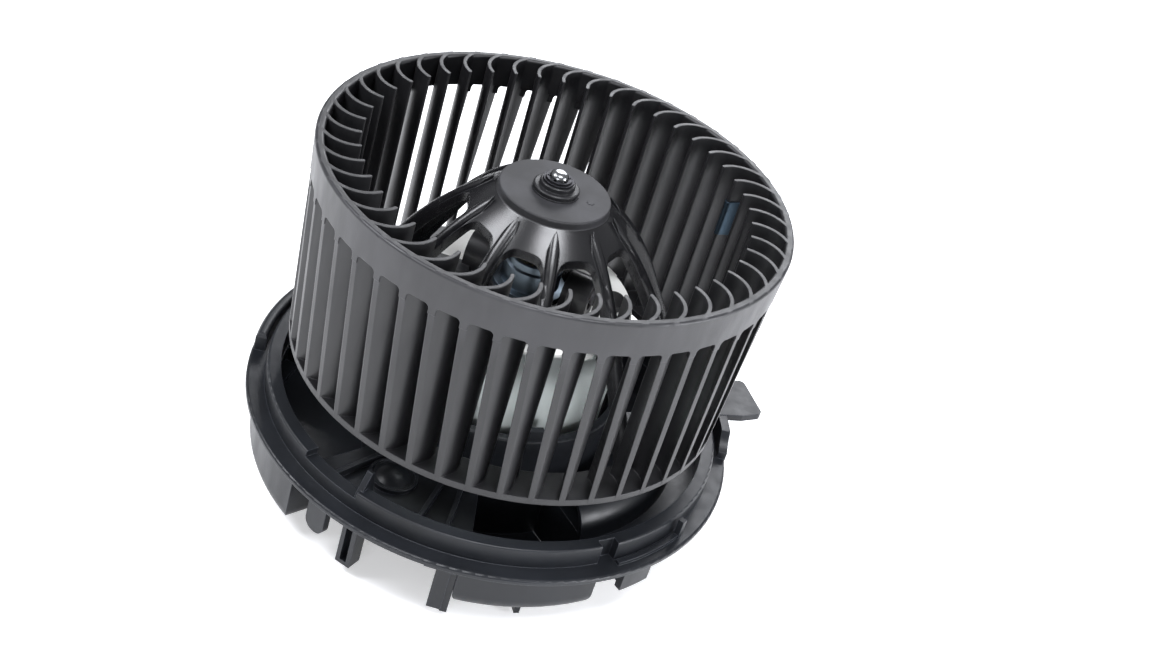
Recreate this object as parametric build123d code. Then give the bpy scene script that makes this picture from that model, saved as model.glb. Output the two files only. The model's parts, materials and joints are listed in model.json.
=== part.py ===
from build123d import *
from math import cos, degrees, hypot, radians, sin, tan
import os

# Blower motor and wheel of a cabin heater: a squirrel-cage fan wheel on a DC brush motor,
# held in a moulded flange that twist-locks into the blower case.
# Millimetres. +Z runs along the shaft towards the fan. The origin is on the shaft axis
# in the underside of the flange. Angles are counted from +X towards +Y.

# ---- fan wheel ----
WHEEL_R = 75.0              # outer radius of the top ring
WHEEL_TOP = 94.2
WHEEL_BOTTOM = 23.2
TOP_RING_HEIGHT = 11.5
TOP_RING_LIP = 3.0          # radial width of the ring's top
TOP_RING_DRAFT = 0.7        # the ring's outside is this much smaller at its lower edge
BASE_RING_R = 71.2
BASE_RING_INNER_R = 59.0
BASE_RING_HEIGHT = 2.2
WINDOW_CORNER = 1.5         # radius in the top corners of the outlet windows

# ---- blades ----
BLADE_COUNT = 47
BLADE_TIP_R = 61.7          # inner edge of the blades
BLADE_ROOT_R = 72.0         # where the curved part of a blade ends
BLADE_SWEEP_DEG = 4.0       # angle by which the root trails the tip
BLADE_CURVE_R = 10.0
BLADE_THICKNESS = 1.2
BLADE_OUTLET = 8.0          # straight run past the root, trimmed by the wheel's outside
FIRST_TIP_DEG = 7.5         # angle of one blade tip
BALANCED_BLADE = 3          # the blade that carries the balance clip

# ---- wheel hub: disc, skirt and ribs ----
HUB_DISC_R = 17.8
HUB_DISC_TOP = 88.4
HUB_DISC_EDGE = 2.2
RIB_COUNT = 10
FIRST_RIB_DEG = 31.5
RIB_WIDTH = 4.0
RIB_DEPTH = 4.6
RIB_TIP_R = 19.6            # the ribs start in a point here
RIB_FULL_R = 24.0           # and reach their full width here
BELL_START = (18.4, 87.2)   # outer edge of a rib, as radius and height
BELL_MIDDLE = (30.6, 76.2)
BELL_END = (43.9, 58.2)
SKIRT_DEPTH = 1.4           # the skirt lies this far under the ribs' outer edge
SKIRT_THICKNESS = 2.2
ARCH_R = 25.1               # the skirt's windows start at this radius
ARCH_CORNER = 4.5
HUB_TUBE_R = 8.5
HUB_BUSH_R = 5.5

# ---- shaft and what sits on it ----
SHAFT_R = 3.0
SHAFT_BOTTOM = -20.8
SHAFT_TOP = 95.2
COLLAR_R = 7.5
COLLAR_NECK_R = 5.6
COLLAR_TOP = 92.0
FIT_GAP = 0.02              # gap left between pieces pressed or glued together
RUNNING_GAP = 0.03          # radial gap of the shaft in its bearings

# ---- motor ----
CAN_R = 34.8
CAN_WALL = 1.4
CAN_BOTTOM = -16.0
CAN_TOP = 50.4
END_PLATE_TOP = 51.9
END_PLATE_HOLE_R = 21.6
MAGNET_R = 33.3
MAGNET_INNER_R = 27.6
MAGNET_SPAN_DEG = 132
MAGNET_BOTTOM = -6.0
MAGNET_TOP = 32.0
CORE_R = 26.8
CORE_BOTTOM = -3.0
CORE_TOP = 25.0
SLOT_COUNT = 12
COMMUTATOR_R = 9.0
COMMUTATOR_BOTTOM = 35.5
COMMUTATOR_TOP = 47.0
BRUSH_Z = 41.5
BRUSH_ANGLE_DEG = 350
BRUSH_WIDTH = 5.0
BRUSH_HEIGHT = 7.0
BRUSH_LENGTH = 10.0
BRUSH_SIDE_GAP = 0.05
TUBE_WALL = 0.6
TUBE_OUTER_R = 27.5
CARD_R = 21.4
CARD_BOTTOM = 49.0
CARD_TOP = 53.0
BEARING_CUP_R = 9.6
BEARING_CUP_TOP = 65.0
BARREL_R = 6.2
BARREL_Z = 57.6

# ---- base housing ----
FLANGE_R = 81.5
FLANGE_THICKNESS = 1.8
SPIGOT_R = 75.7
SPIGOT_TOP = 8.7
BOWL_R = 71.3
LEDGE_TOP = 6.4             # lowered stretch of the spigot
FLOOR_TOP = -0.4
FLOOR_THICKNESS = 1.8
WELL_BOTTOM = -15.8         # of the rear well, which carries the connector
WELL_WALL = 1.8
WELL_ROUNDING = 5.0
LEG_R = 73.2                # outer radius of the legs and brackets
SLEEVE_R = 39.8             # tube that holds the motor
SLEEVE_INNER_R = 37.2
SLEEVE_TOP = 20.7
SLEEVE_BOTTOM = -22.0
LEG_BOTTOM = -25.5
COVER_THICKNESS = 2.4
SCREW_CIRCLE_R = 43.0
SCREW_ANGLES = (20, 140, 260)
CONNECTOR_ANGLE_DEG = 95
CONNECTOR_R = 56.0

PITCH_DEG = 360 / BLADE_COUNT
RIB_PITCH_DEG = 360 / RIB_COUNT


def polar(radius, angle_deg, z=0.0):
    """Point at a radius and an angle."""
    return Vector(radius * cos(radians(angle_deg)), radius * sin(radians(angle_deg)), z)


def turned(shape, angle_deg):
    """Copy of a shape turned about the shaft axis."""
    return Rot(0, 0, angle_deg) * shape


def ring(outer_r, inner_r, bottom, top):
    """Plain round ring, or a disc when the inner radius is 0."""
    height = top - bottom
    body = Pos(0, 0, bottom + height / 2) * Cylinder(outer_r, height)
    if inner_r > 0:
        body -= Pos(0, 0, bottom + height / 2) * Cylinder(inner_r, height + 2)
    return body


def lathe(*points):
    """Solid of revolution from a closed outline of (radius, height) points."""
    outline = make_face(Polyline(*[(r, 0, z) for r, z in points], close=True))
    return revolve(outline, Axis.Z)


def sector(outer_r, inner_r, start_deg, end_deg, bottom, top):
    """Stretch of a ring between two angles."""
    middle = (start_deg + end_deg) / 2
    outline = make_face([
        ThreePointArc(polar(outer_r, start_deg), polar(outer_r, middle), polar(outer_r, end_deg)),
        Line(polar(outer_r, end_deg), polar(inner_r, end_deg)),
        ThreePointArc(polar(inner_r, end_deg), polar(inner_r, middle), polar(inner_r, start_deg)),
        Line(polar(inner_r, start_deg), polar(outer_r, start_deg)),
    ])
    return Pos(0, 0, bottom) * extrude(outline, top - bottom, dir=(0, 0, 1))


def block(length, width, height, radius, angle_deg, bottom):
    """Upright box whose length runs along the radius, centred at a radius and an angle."""
    return turned(Pos(radius, 0, bottom + height / 2) * Box(length, width, height), angle_deg)


def post(radius, height, circle_r, angle_deg, bottom):
    """Upright round post at a radius and an angle."""
    return Pos(*polar(circle_r, angle_deg, bottom + height / 2)) * Cylinder(radius, height)


def circle_through(a, b, c):
    """Centre and radius of the circle through three (x, y) points."""
    d = 2 * (a[0] * (b[1] - c[1]) + b[0] * (c[1] - a[1]) + c[0] * (a[1] - b[1]))
    squares = [p[0] ** 2 + p[1] ** 2 for p in (a, b, c)]
    x = (squares[0] * (b[1] - c[1]) + squares[1] * (c[1] - a[1]) + squares[2] * (a[1] - b[1])) / d
    y = (squares[0] * (c[0] - b[0]) + squares[1] * (a[0] - c[0]) + squares[2] * (b[0] - a[0])) / d
    return (x, y), hypot(a[0] - x, a[1] - y)


# ---- fan wheel ----

def outlet_radius(z):
    """Radius of the wheel's outside at the blades: it tapers from the top ring to the base."""
    under_ring = WHEEL_TOP - TOP_RING_HEIGHT
    share = (z - WHEEL_BOTTOM) / (under_ring - WHEEL_BOTTOM)
    return BASE_RING_R + share * (WHEEL_R - TOP_RING_DRAFT - BASE_RING_R)


def blade_outline():
    """Section of one blade with its tip on +X: an arc, then a straight outlet."""
    tip = polar(BLADE_TIP_R, 0)
    root = polar(BLADE_ROOT_R, -BLADE_SWEEP_DEG)
    chord = root - tip
    along = chord.normalized()
    inward = Vector(along.Y, -along.X, 0)
    centre = (tip + root) * 0.5 + inward * (BLADE_CURVE_R ** 2 - (chord.length / 2) ** 2) ** 0.5
    half = BLADE_THICKNESS / 2

    def on_arc(point, offset):
        return centre + (point - centre).normalized() * (BLADE_CURVE_R + offset)

    crown = (tip + root) * 0.5 - inward * 2
    outlet = (root - centre).normalized()
    outlet = Vector(outlet.Y, -outlet.X, 0) * BLADE_OUTLET
    tip_end = (tip - centre).normalized()
    tip_end = tip + Vector(-tip_end.Y, tip_end.X, 0) * half
    outer_tip, inner_tip = on_arc(tip, half), on_arc(tip, -half)
    outer_root, inner_root = on_arc(root, half), on_arc(root, -half)
    return make_face([
        ThreePointArc(outer_tip, on_arc(crown, half), outer_root),
        Line(outer_root, outer_root + outlet),
        Line(outer_root + outlet, inner_root + outlet),
        Line(inner_root + outlet, inner_root),
        ThreePointArc(inner_root, on_arc(crown, -half), inner_tip),
        ThreePointArc(inner_tip, tip_end, outer_tip),
    ])


def blade():
    """One blade, trimmed by the wheel's tapered outside."""
    blank = Pos(0, 0, WHEEL_BOTTOM) * extrude(blade_outline(), WHEEL_TOP - WHEEL_BOTTOM, dir=(0, 0, 1))
    outside = lathe(
        (0, WHEEL_BOTTOM),
        (outlet_radius(WHEEL_BOTTOM), WHEEL_BOTTOM),
        (outlet_radius(WHEEL_TOP) - 0.3, WHEEL_TOP),
        (0, WHEEL_TOP),
    )
    return blank & outside


def top_ring():
    """Inlet ring with a rounded top, and the arched tops of the outlet windows under it."""
    under = WHEEL_TOP - TOP_RING_HEIGHT
    inner_top = WHEEL_R - TOP_RING_LIP
    outline = make_face(Polyline(
        (WHEEL_R, 0, WHEEL_TOP), (outlet_radius(under), 0, under), (inner_top + 0.4, 0, under),
        (inner_top, 0, WHEEL_TOP), close=True))
    outline = fillet(outline.vertices().group_by(Axis.Z)[-1], 0.9)
    band = revolve(outline, Axis.Z)
    header_bottom = under - 2 * WINDOW_CORNER
    header = lathe(
        (outlet_radius(under), under + 0.2), (outlet_radius(header_bottom), header_bottom),
        (outlet_radius(header_bottom) - 1.4, header_bottom), (outlet_radius(under) - 1.4, under + 0.2))
    mid_outlet_deg = FIRST_TIP_DEG - BLADE_SWEEP_DEG - 2.2
    strip = 2.4
    gap = 2 * outlet_radius(under) * sin(radians(PITCH_DEG / 2)) - strip
    slot = Box(12, gap, 8)
    slot = fillet(slot.edges().filter_by(Axis.X).group_by(Axis.Z)[-1], WINDOW_CORNER)
    slot = Pos(WHEEL_R - 2, 0, under - 4 + 0.01) * slot
    for number in range(BLADE_COUNT):
        header -= turned(slot, mid_outlet_deg + (number + 0.5) * PITCH_DEG)
    return band + header


BELL_CENTRE, BELL_R = circle_through(BELL_START, BELL_MIDDLE, BELL_END)


def bell_point(radius, depth):
    """Point at a radius, at a depth under the rib's outer edge along the bell's arc."""
    r = BELL_R - depth
    return Vector(radius, 0, BELL_CENTRE[1] + (r ** 2 - (radius - BELL_CENTRE[0]) ** 2) ** 0.5)


def bell_end(depth):
    """End of the bell's arc at a depth, and the direction in which a rib runs on from there."""
    out = Vector(BELL_END[0] - BELL_CENTRE[0], 0, BELL_END[1] - BELL_CENTRE[1]).normalized()
    return Vector(*[BELL_END[0], 0, BELL_END[1]]) - out * depth, Vector(out.Z, 0, -out.X)


def hub_rib():
    """One rib: it follows the bell, then runs straight down to the base ring."""
    start = BELL_START[0] - 3
    outer_end, along = bell_end(0)
    inner_end, along = bell_end(RIB_DEPTH)
    run = (outer_end.Z - WHEEL_BOTTOM) / -along.Z
    outer_foot = outer_end + along * run
    inner_foot = inner_end + along * run
    section = make_face([
        ThreePointArc(bell_point(start, 0), bell_point(BELL_MIDDLE[0], 0), outer_end),
        Line(outer_end, outer_foot),
        Line(outer_foot, inner_foot),
        Line(inner_foot, inner_end),
        ThreePointArc(inner_end, bell_point(BELL_MIDDLE[0], RIB_DEPTH), bell_point(start, RIB_DEPTH)),
        Line(bell_point(start, RIB_DEPTH), bell_point(start, 0)),
    ])
    rib = extrude(section, RIB_WIDTH / 2, both=True, dir=(0, 1, 0))
    crest = [edge for edge in rib.edges()
             if abs(abs(edge.center().Y) - RIB_WIDTH / 2) < 0.01
             and edge.center().Z > 30
             and on_crest(edge.center(), outer_end, along)]
    rib = fillet(crest, RIB_WIDTH / 2 - 0.15)
    half = RIB_WIDTH / 2 + 0.1
    far = BASE_RING_R - 4
    plan = make_face(Polyline(
        (RIB_TIP_R, 0), (RIB_FULL_R, half), (far, half), (far, -half), (RIB_FULL_R, -half), close=True))
    return rib & (Pos(0, 0, WHEEL_BOTTOM) * extrude(plan, 100, dir=(0, 0, 1)))


def on_crest(point, outer_end, along):
    """True for a point on the rib's outer edge."""
    if point.X < outer_end.X - 0.5:
        return point.Z > bell_point(point.X, RIB_DEPTH / 2).Z
    side = (point - Vector(outer_end.X, point.Y, outer_end.Z))
    return abs(side.X * along.Z - side.Z * along.X) < 0.5


def hub_shell():
    """Hub disc, its stepped edge, the windowed skirt and the tube around the bush."""
    step = HUB_DISC_TOP - HUB_DISC_EDGE
    disc = ring(HUB_DISC_R, 0, step - 0.6, HUB_DISC_TOP)
    disc = fillet(disc.edges().group_by(Axis.Z)[-1], 0.5)
    skirt_end = BELL_MIDDLE[0] + 3
    skirt = revolve(make_face([
        Line((12, 0, step), (BELL_START[0] - 0.9, 0, step)),
        Line((BELL_START[0] - 0.9, 0, step), bell_point(BELL_START[0], SKIRT_DEPTH)),
        ThreePointArc(bell_point(BELL_START[0], SKIRT_DEPTH), bell_point(ARCH_R, SKIRT_DEPTH),
                      bell_point(skirt_end, SKIRT_DEPTH)),
        Line(bell_point(skirt_end, SKIRT_DEPTH), bell_point(skirt_end, SKIRT_DEPTH + SKIRT_THICKNESS)),
        ThreePointArc(bell_point(skirt_end, SKIRT_DEPTH + SKIRT_THICKNESS),
                      bell_point(ARCH_R, SKIRT_DEPTH + SKIRT_THICKNESS),
                      bell_point(BELL_START[0] - 2, SKIRT_DEPTH + SKIRT_THICKNESS)),
        Line(bell_point(BELL_START[0] - 2, SKIRT_DEPTH + SKIRT_THICKNESS), (12, 0, step - 2.2)),
        Line((12, 0, step - 2.2), (12, 0, step)),
    ]), Axis.Z)
    half = radians(RIB_PITCH_DEG / 2)
    far = skirt_end + 8

    def side(radius):
        return radius * tan(half) - (RIB_WIDTH / 2 + 0.1) / cos(half)

    window = make_face(Polyline(
        (ARCH_R, -side(ARCH_R)), (far, -side(far)), (far, side(far)), (ARCH_R, side(ARCH_R)),
        close=True))
    window = fillet(window.vertices().group_by(Axis.X)[0], ARCH_CORNER)
    window = Pos(0, 0, 55) * extrude(window, 40, dir=(0, 0, 1))
    for number in range(RIB_COUNT):
        skirt -= turned(window, FIRST_RIB_DEG + (number + 0.5) * RIB_PITCH_DEG)
    tube = ring(HUB_TUBE_R, 0, 72, step)
    bore = ring(HUB_BUSH_R, 0, 60, HUB_DISC_TOP + 1)
    return disc + skirt + tube - bore


def fan_wheel():
    """The whole wheel moulding."""
    wheel = top_ring() + ring(BASE_RING_R, BASE_RING_INNER_R, WHEEL_BOTTOM, WHEEL_BOTTOM + BASE_RING_HEIGHT)
    one_blade = blade()
    blades = [turned(one_blade, FIRST_TIP_DEG + number * PITCH_DEG) for number in range(BLADE_COUNT)]
    one_rib = hub_rib()
    ribs = [turned(one_rib, FIRST_RIB_DEG + number * RIB_PITCH_DEG) for number in range(RIB_COUNT)]
    gate_mark = post(1.1, 0.25, 11.5, 355, HUB_DISC_TOP - 0.05)
    return wheel + blades + (hub_shell() + ribs + gate_mark)


def balance_clip():
    """Steel clip pushed over the inner edge of one blade."""
    clip_gap = 0.03
    sheet = 0.5
    tip = polar(BLADE_TIP_R, 0)
    bottom, top = WHEEL_TOP - 20.5, WHEEL_TOP - 8.0
    outline = blade_outline()
    outer = offset(outline, amount=clip_gap + sheet)
    inner = offset(outline, amount=clip_gap)
    reach = Pos(tip.X, tip.Y) * Circle(6.0)
    wrap = Pos(0, 0, bottom) * extrude((outer - inner) & reach, top - bottom, dir=(0, 0, 1))
    return turned(wrap, FIRST_TIP_DEG + BALANCED_BLADE * PITCH_DEG)


# ---- shaft and rotor ----

def motor_shaft():
    """Ground steel shaft with a domed tip."""
    shaft = ring(SHAFT_R, 0, SHAFT_BOTTOM, SHAFT_TOP)
    shaft = fillet(shaft.edges().group_by(Axis.Z)[-1], 1.9)
    return chamfer(shaft.edges().group_by(Axis.Z)[0], 0.5)


def hub_bush():
    """Brass bush moulded into the wheel's hub."""
    return ring(HUB_BUSH_R - FIT_GAP, SHAFT_R + FIT_GAP, 71, HUB_DISC_TOP)


def hub_collar():
    """Black grooved collar on top of the hub, with a narrower neck."""
    inner = SHAFT_R + FIT_GAP
    base = HUB_DISC_TOP + FIT_GAP
    return lathe(
        (inner, base), (COLLAR_R, base), (COLLAR_R, base + 0.5), (COLLAR_R - 0.6, base + 0.5),
        (COLLAR_R - 0.6, base + 0.9), (COLLAR_R - 0.2, base + 0.9), (COLLAR_R - 0.2, base + 1.6),
        (COLLAR_R - 0.6, base + 1.9), (COLLAR_NECK_R, base + 1.9), (COLLAR_NECK_R, COLLAR_TOP - 0.3),
        (COLLAR_NECK_R - 0.3, COLLAR_TOP), (inner, COLLAR_TOP))


def hub_washer():
    """Thin steel washer over the collar."""
    return ring(4.9, SHAFT_R + FIT_GAP, COLLAR_TOP + FIT_GAP, COLLAR_TOP + 0.7)


def retaining_clip():
    """Push-on clip with six teeth that bite the shaft."""
    bottom = COLLAR_TOP + 0.7 + FIT_GAP
    clip = ring(4.2, SHAFT_R + FIT_GAP, bottom, bottom + 0.6)
    for number in range(6):
        clip -= block(0.8, 0.7, 2, SHAFT_R + 0.3, number * 60 + 15, bottom - 0.5)
    return clip


def armature_core():
    """Stack of steel laminations with open slots for the windings."""
    core = ring(CORE_R, SHAFT_R + FIT_GAP, CORE_BOTTOM, CORE_TOP)
    height = CORE_TOP - CORE_BOTTOM + 2
    for number in range(SLOT_COUNT):
        angle = number * 360 / SLOT_COUNT
        core -= post(3.3, height, CORE_R - 6.5, angle, CORE_BOTTOM - 1)
        core -= block(8, 3.0, height, CORE_R - 13, angle, CORE_BOTTOM - 1)
        core -= block(6, 1.6, height, CORE_R - 1.5, angle, CORE_BOTTOM - 1)
    return core


def armature_winding():
    """Copper winding: a bundle in every slot, joined by a coil head at each end."""
    slot_r = CORE_R - 6.5
    bundle_r = 2.9
    upper = ring(slot_r + bundle_r + 1.2, 7.5, CORE_TOP + 0.3, CORE_TOP + 7.0)
    upper = fillet(upper.edges(), 2.8)
    lower = ring(slot_r + bundle_r + 1.2, 7.5, CORE_BOTTOM - 6.3, CORE_BOTTOM - 0.3)
    lower = fillet(lower.edges(), 2.6)
    winding = upper + lower
    height = CORE_TOP - CORE_BOTTOM + 6
    bundles = [post(bundle_r, height, slot_r, number * 360 / SLOT_COUNT, CORE_BOTTOM - 3)
               for number in range(SLOT_COUNT)]
    return winding + bundles


def commutator_sleeve():
    """Moulded sleeve that carries the commutator bars."""
    sleeve = ring(COMMUTATOR_R - 2.5, SHAFT_R + FIT_GAP, COMMUTATOR_BOTTOM - 1.5, COMMUTATOR_TOP)
    return sleeve


def commutator_bars():
    """Twelve copper bars with a hook each for the winding's wires."""
    bars = []
    pitch = 360 / SLOT_COUNT
    inner = COMMUTATOR_R - 2.5 + FIT_GAP
    for number in range(SLOT_COUNT):
        start = number * pitch + 1.6
        end = (number + 1) * pitch - 1.6
        bar = sector(COMMUTATOR_R, inner, start, end, COMMUTATOR_BOTTOM, COMMUTATOR_TOP - 0.3)
        hook = block(2.4, 1.4, 1.2, COMMUTATOR_R + 0.8, (start + end) / 2, COMMUTATOR_BOTTOM)
        bars.append(bar + hook)
    return bars


def thrust_washers():
    """Pairs of slip washers that set the shaft's end play."""
    low = ring(5.4, SHAFT_R + FIT_GAP, -12.4, -11.6)
    high = ring(5.4, SHAFT_R + FIT_GAP, 52.2, 53.0)
    return [low, high]


# ---- motor housing ----

def motor_can():
    """Deep-drawn steel can with a bearing pocket in its bottom."""
    inner = CAN_R - CAN_WALL
    pocket_r = 8.6
    pocket_bottom = CAN_BOTTOM - 6.5
    can = lathe(
        (pocket_r, pocket_bottom), (pocket_r, CAN_BOTTOM), (CAN_R - 2.4, CAN_BOTTOM),
        (CAN_R, CAN_BOTTOM + 2.4), (CAN_R, CAN_TOP), (inner, CAN_TOP),
        (inner, CAN_BOTTOM + 2.6), (inner - 1.2, CAN_BOTTOM + CAN_WALL),
        (pocket_r - CAN_WALL, CAN_BOTTOM + CAN_WALL), (pocket_r - CAN_WALL, pocket_bottom + CAN_WALL),
        (0, pocket_bottom + CAN_WALL), (0, pocket_bottom),
    )
    for number in range(4):
        can -= block(4, 6, 2.2, CAN_R, 45 + number * 90, CAN_TOP - 2.2)
    return can


def end_plate():
    """Bright steel plate that closes the can on the fan side, with four crimped ears."""
    plate = ring(CAN_R, END_PLATE_HOLE_R, CAN_TOP + FIT_GAP, END_PLATE_TOP)
    plate = fillet(plate.edges().group_by(Axis.Z)[-1].sort_by(SortBy.RADIUS)[-1], 1.0)
    for number in range(4):
        plate += block(1.6, 5.6, 3.6, CAN_R - 1.0, 45 + number * 90, CAN_TOP - 2.1)
    return plate


def field_magnets():
    """Two curved ferrite magnets."""
    half = MAGNET_SPAN_DEG / 2
    return [
        sector(MAGNET_R, MAGNET_INNER_R, middle - half, middle + half, MAGNET_BOTTOM, MAGNET_TOP)
        for middle in (BRUSH_ANGLE_DEG - 360, BRUSH_ANGLE_DEG - 180)
    ]


def magnet_springs():
    """Two bent spring strips that push the magnets apart against the can."""
    springs = []
    for middle in (BRUSH_ANGLE_DEG - 270, BRUSH_ANGLE_DEG - 90):
        reach = (180 - MAGNET_SPAN_DEG) / 2 - 1.0
        height = MAGNET_TOP - 8
        back = sector(MAGNET_R, MAGNET_R - 0.6, middle - reach, middle + reach, MAGNET_BOTTOM + 4, height)
        legs = [
            sector(MAGNET_R - 0.3, MAGNET_INNER_R + 1, middle + side * reach - 0.6,
                   middle + side * reach + 0.6, MAGNET_BOTTOM + 4, height)
            for side in (-1, 1)
        ]
        springs.append(back + legs)
    return springs


def rear_bearing():
    """Sintered bush in the can's bottom pocket."""
    return ring(7.2 - FIT_GAP, SHAFT_R + RUNNING_GAP, CAN_BOTTOM - 5.0, CAN_BOTTOM + 1.2)


def front_bearing():
    """Sintered bush in the bearing cup on the fan side."""
    return ring(7.6, SHAFT_R + RUNNING_GAP, 55.0, 62.6)


def bearing_retainer():
    """Spring washer with four fingers that clamps the front bearing in its cup."""
    washer = ring(8.3, 4.6, 62.7, 63.2)
    for number in range(4):
        washer -= block(3, 1.6, 2, 7.8, number * 90, 62)
    return washer


def bearing_cup():
    """Stepped steel cup that holds the front bearing over the brush card."""
    wall = 1.1
    return lathe(
        (BEARING_CUP_R + 2.2, CARD_TOP + FIT_GAP), (BEARING_CUP_R + 2.2, CARD_TOP + 1.4),
        (BEARING_CUP_R, CARD_TOP + 2.0), (BEARING_CUP_R, BEARING_CUP_TOP - 3.4),
        (BEARING_CUP_R - 0.7, BEARING_CUP_TOP - 2.8), (BEARING_CUP_R - 0.7, BEARING_CUP_TOP - 0.6),
        (BEARING_CUP_R - 1.3, BEARING_CUP_TOP), (4.4, BEARING_CUP_TOP),
        (4.4, BEARING_CUP_TOP - wall), (BEARING_CUP_R - wall - 0.1, BEARING_CUP_TOP - wall - 0.4),
        (BEARING_CUP_R - wall - 0.1, 62.6), (7.6 + FIT_GAP, 62.6),
        (7.6 + FIT_GAP, 54.4), (BEARING_CUP_R - wall, CARD_TOP + FIT_GAP),
    )


# ---- brush gear ----

def brush_frame(shape, side):
    """Place a shape, drawn along +X at the brush height, at one of the two brushes."""
    return turned(Pos(0, 0, BRUSH_Z) * shape, BRUSH_ANGLE_DEG + 180 * side)


def carbon_brush(side):
    """Carbon brush, hollowed at its front to the commutator's curve."""
    front = COMMUTATOR_R + 0.05
    body = Pos(front + BRUSH_LENGTH / 2 - 0.6, 0, 0) * Box(BRUSH_LENGTH, BRUSH_WIDTH, BRUSH_HEIGHT)
    body -= Cylinder(front, BRUSH_HEIGHT + 2)
    return brush_frame(body, side)


def brush_tube(side):
    """Brass tube that guides a brush, closed at its outer end."""
    inner_w = BRUSH_WIDTH + 2 * BRUSH_SIDE_GAP
    inner_h = BRUSH_HEIGHT + 2 * BRUSH_SIDE_GAP
    start = COMMUTATOR_R + 3.4
    length = TUBE_OUTER_R - start
    tube = Box(length, inner_w + 2 * TUBE_WALL, inner_h + 2 * TUBE_WALL)
    tube -= Pos(-TUBE_WALL, 0, 0) * Box(length, inner_w, inner_h)
    return brush_frame(Pos(start + length / 2, 0, 0) * tube, side)


def brush_spring(side):
    """Coil spring between a brush and the end of its tube."""
    back = COMMUTATOR_R + 0.05 + BRUSH_LENGTH - 0.6 + 0.35
    end = TUBE_OUTER_R - TUBE_WALL - 0.35
    coil = Helix(pitch=(end - back) / 5, height=end - back, radius=1.7)
    wire = sweep(Plane(coil @ 0, z_dir=coil % 0) * Circle(0.3), path=coil)
    return brush_frame(Pos(back, 0, 0) * Rot(0, 90, 0) * wire, side)


def brush_card():
    """Black moulding that carries the brush gear, seated in the end plate's hole."""
    card = ring(CARD_R, BEARING_CUP_R - 1.2, CARD_BOTTOM, CARD_TOP)
    card = fillet(card.edges().group_by(Axis.Z)[-1].sort_by(SortBy.RADIUS)[-1], 0.8)
    ear_bottom = END_PLATE_TOP + FIT_GAP
    for angle in (10, 100, 190, 280):
        ear = sector(31.5, CARD_R - 2, angle - 9, angle + 9, ear_bottom, ear_bottom + 2.2)
        card += fillet(ear.edges().filter_by(Axis.Z).sort_by(SortBy.DISTANCE)[-2:], 3.0)
    for middle in (215, 35):
        card -= sector(18.5, 12.5, middle - 16, middle + 16, CARD_BOTTOM - 1, CARD_TOP + 1)
    for side in (0, 1):
        card += turned(choke_barrel(), BRUSH_ANGLE_DEG + 180 * side)
        start = COMMUTATOR_R + 5
        cheek_height = CARD_BOTTOM - BRUSH_Z + 3
        for edge in (-1, 1):
            cheek = Box(TUBE_OUTER_R - start - 7, 1.4, cheek_height)
            cheek = Pos((start + TUBE_OUTER_R - 7) / 2, edge * 4.0, cheek_height / 2 - 3) * cheek
            card += brush_frame(cheek, side)
    return card


def choke_barrel():
    """Open barrel along the radius that holds a choke, rounded over its top."""
    length = 9.0
    middle = BEARING_CUP_R + 2.6 + length / 2
    outer = Pos(middle, 0, BARREL_Z) * Rot(0, 90, 0) * Cylinder(BARREL_R, length)
    foot_height = BARREL_Z - CARD_TOP + 0.5
    outer += Pos(middle, 0, BARREL_Z - foot_height / 2) * Box(length, 2 * BARREL_R, foot_height)
    hollow = Pos(middle, 0, BARREL_Z) * Rot(0, 90, 0) * Cylinder(BARREL_R - 1.8, length + 2)
    return outer - hollow


def choke_cores():
    """Ferrite rods of the two suppression chokes."""
    rod = Pos(BEARING_CUP_R + 7.3, 0, BARREL_Z) * Rot(0, 90, 0) * Cylinder(2.2, 9.4)
    return [turned(rod, BRUSH_ANGLE_DEG + 180 * side) for side in (0, 1)]


def choke_windings():
    """Copper coils on the choke cores."""
    coil = Pos(BEARING_CUP_R + 7.3, 0, BARREL_Z) * Rot(0, 90, 0) * Cylinder(4.2, 7.0)
    coil -= Pos(BEARING_CUP_R + 7.3, 0, BARREL_Z) * Rot(0, 90, 0) * Cylinder(2.2 + FIT_GAP, 12)
    return [turned(coil, BRUSH_ANGLE_DEG + 180 * side) for side in (0, 1)]


def suppressor_capacitor():
    """Film capacitor that lies on the card at the back."""
    body = fillet(Box(4.4, 9.0, 6.5).edges(), 0.8)
    return turned(Pos(16.6, 0, CARD_TOP + FIT_GAP + 3.25) * body, 125)


def thermal_fuse():
    """Thermal cut-out lying on the card beside the bearing cup."""
    body = fillet(Box(5.0, 8.5, 3.0).edges().filter_by(Axis.Z), 0.8)
    return turned(Pos(16.6, 0, CARD_TOP + FIT_GAP + 1.5) * body, 65)


def lead_path(angle_deg):
    """Route of a lead: up off the card, out over the plate, down beside the can to its terminal."""
    out_r = CAN_R + 1.5
    low_z = WELL_BOTTOM + 8.1
    return Polyline(
        polar(17.5, angle_deg, CARD_TOP + FIT_GAP),
        polar(17.5, angle_deg, CARD_TOP + 3.2),
        polar(out_r, angle_deg, CARD_TOP + 3.2),
        polar(out_r, angle_deg, low_z),
        polar(CONNECTOR_R - 3.1, angle_deg, low_z),
    )


def lead(angle_deg):
    """Insulated lead with rounded bends."""
    path = FilletPolyline(*[v for v in lead_path(angle_deg).vertices()], radius=2.0)
    return sweep(Plane(path @ 0, z_dir=path % 0) * Circle(0.95), path=path)


# ---- base housing ----

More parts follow.
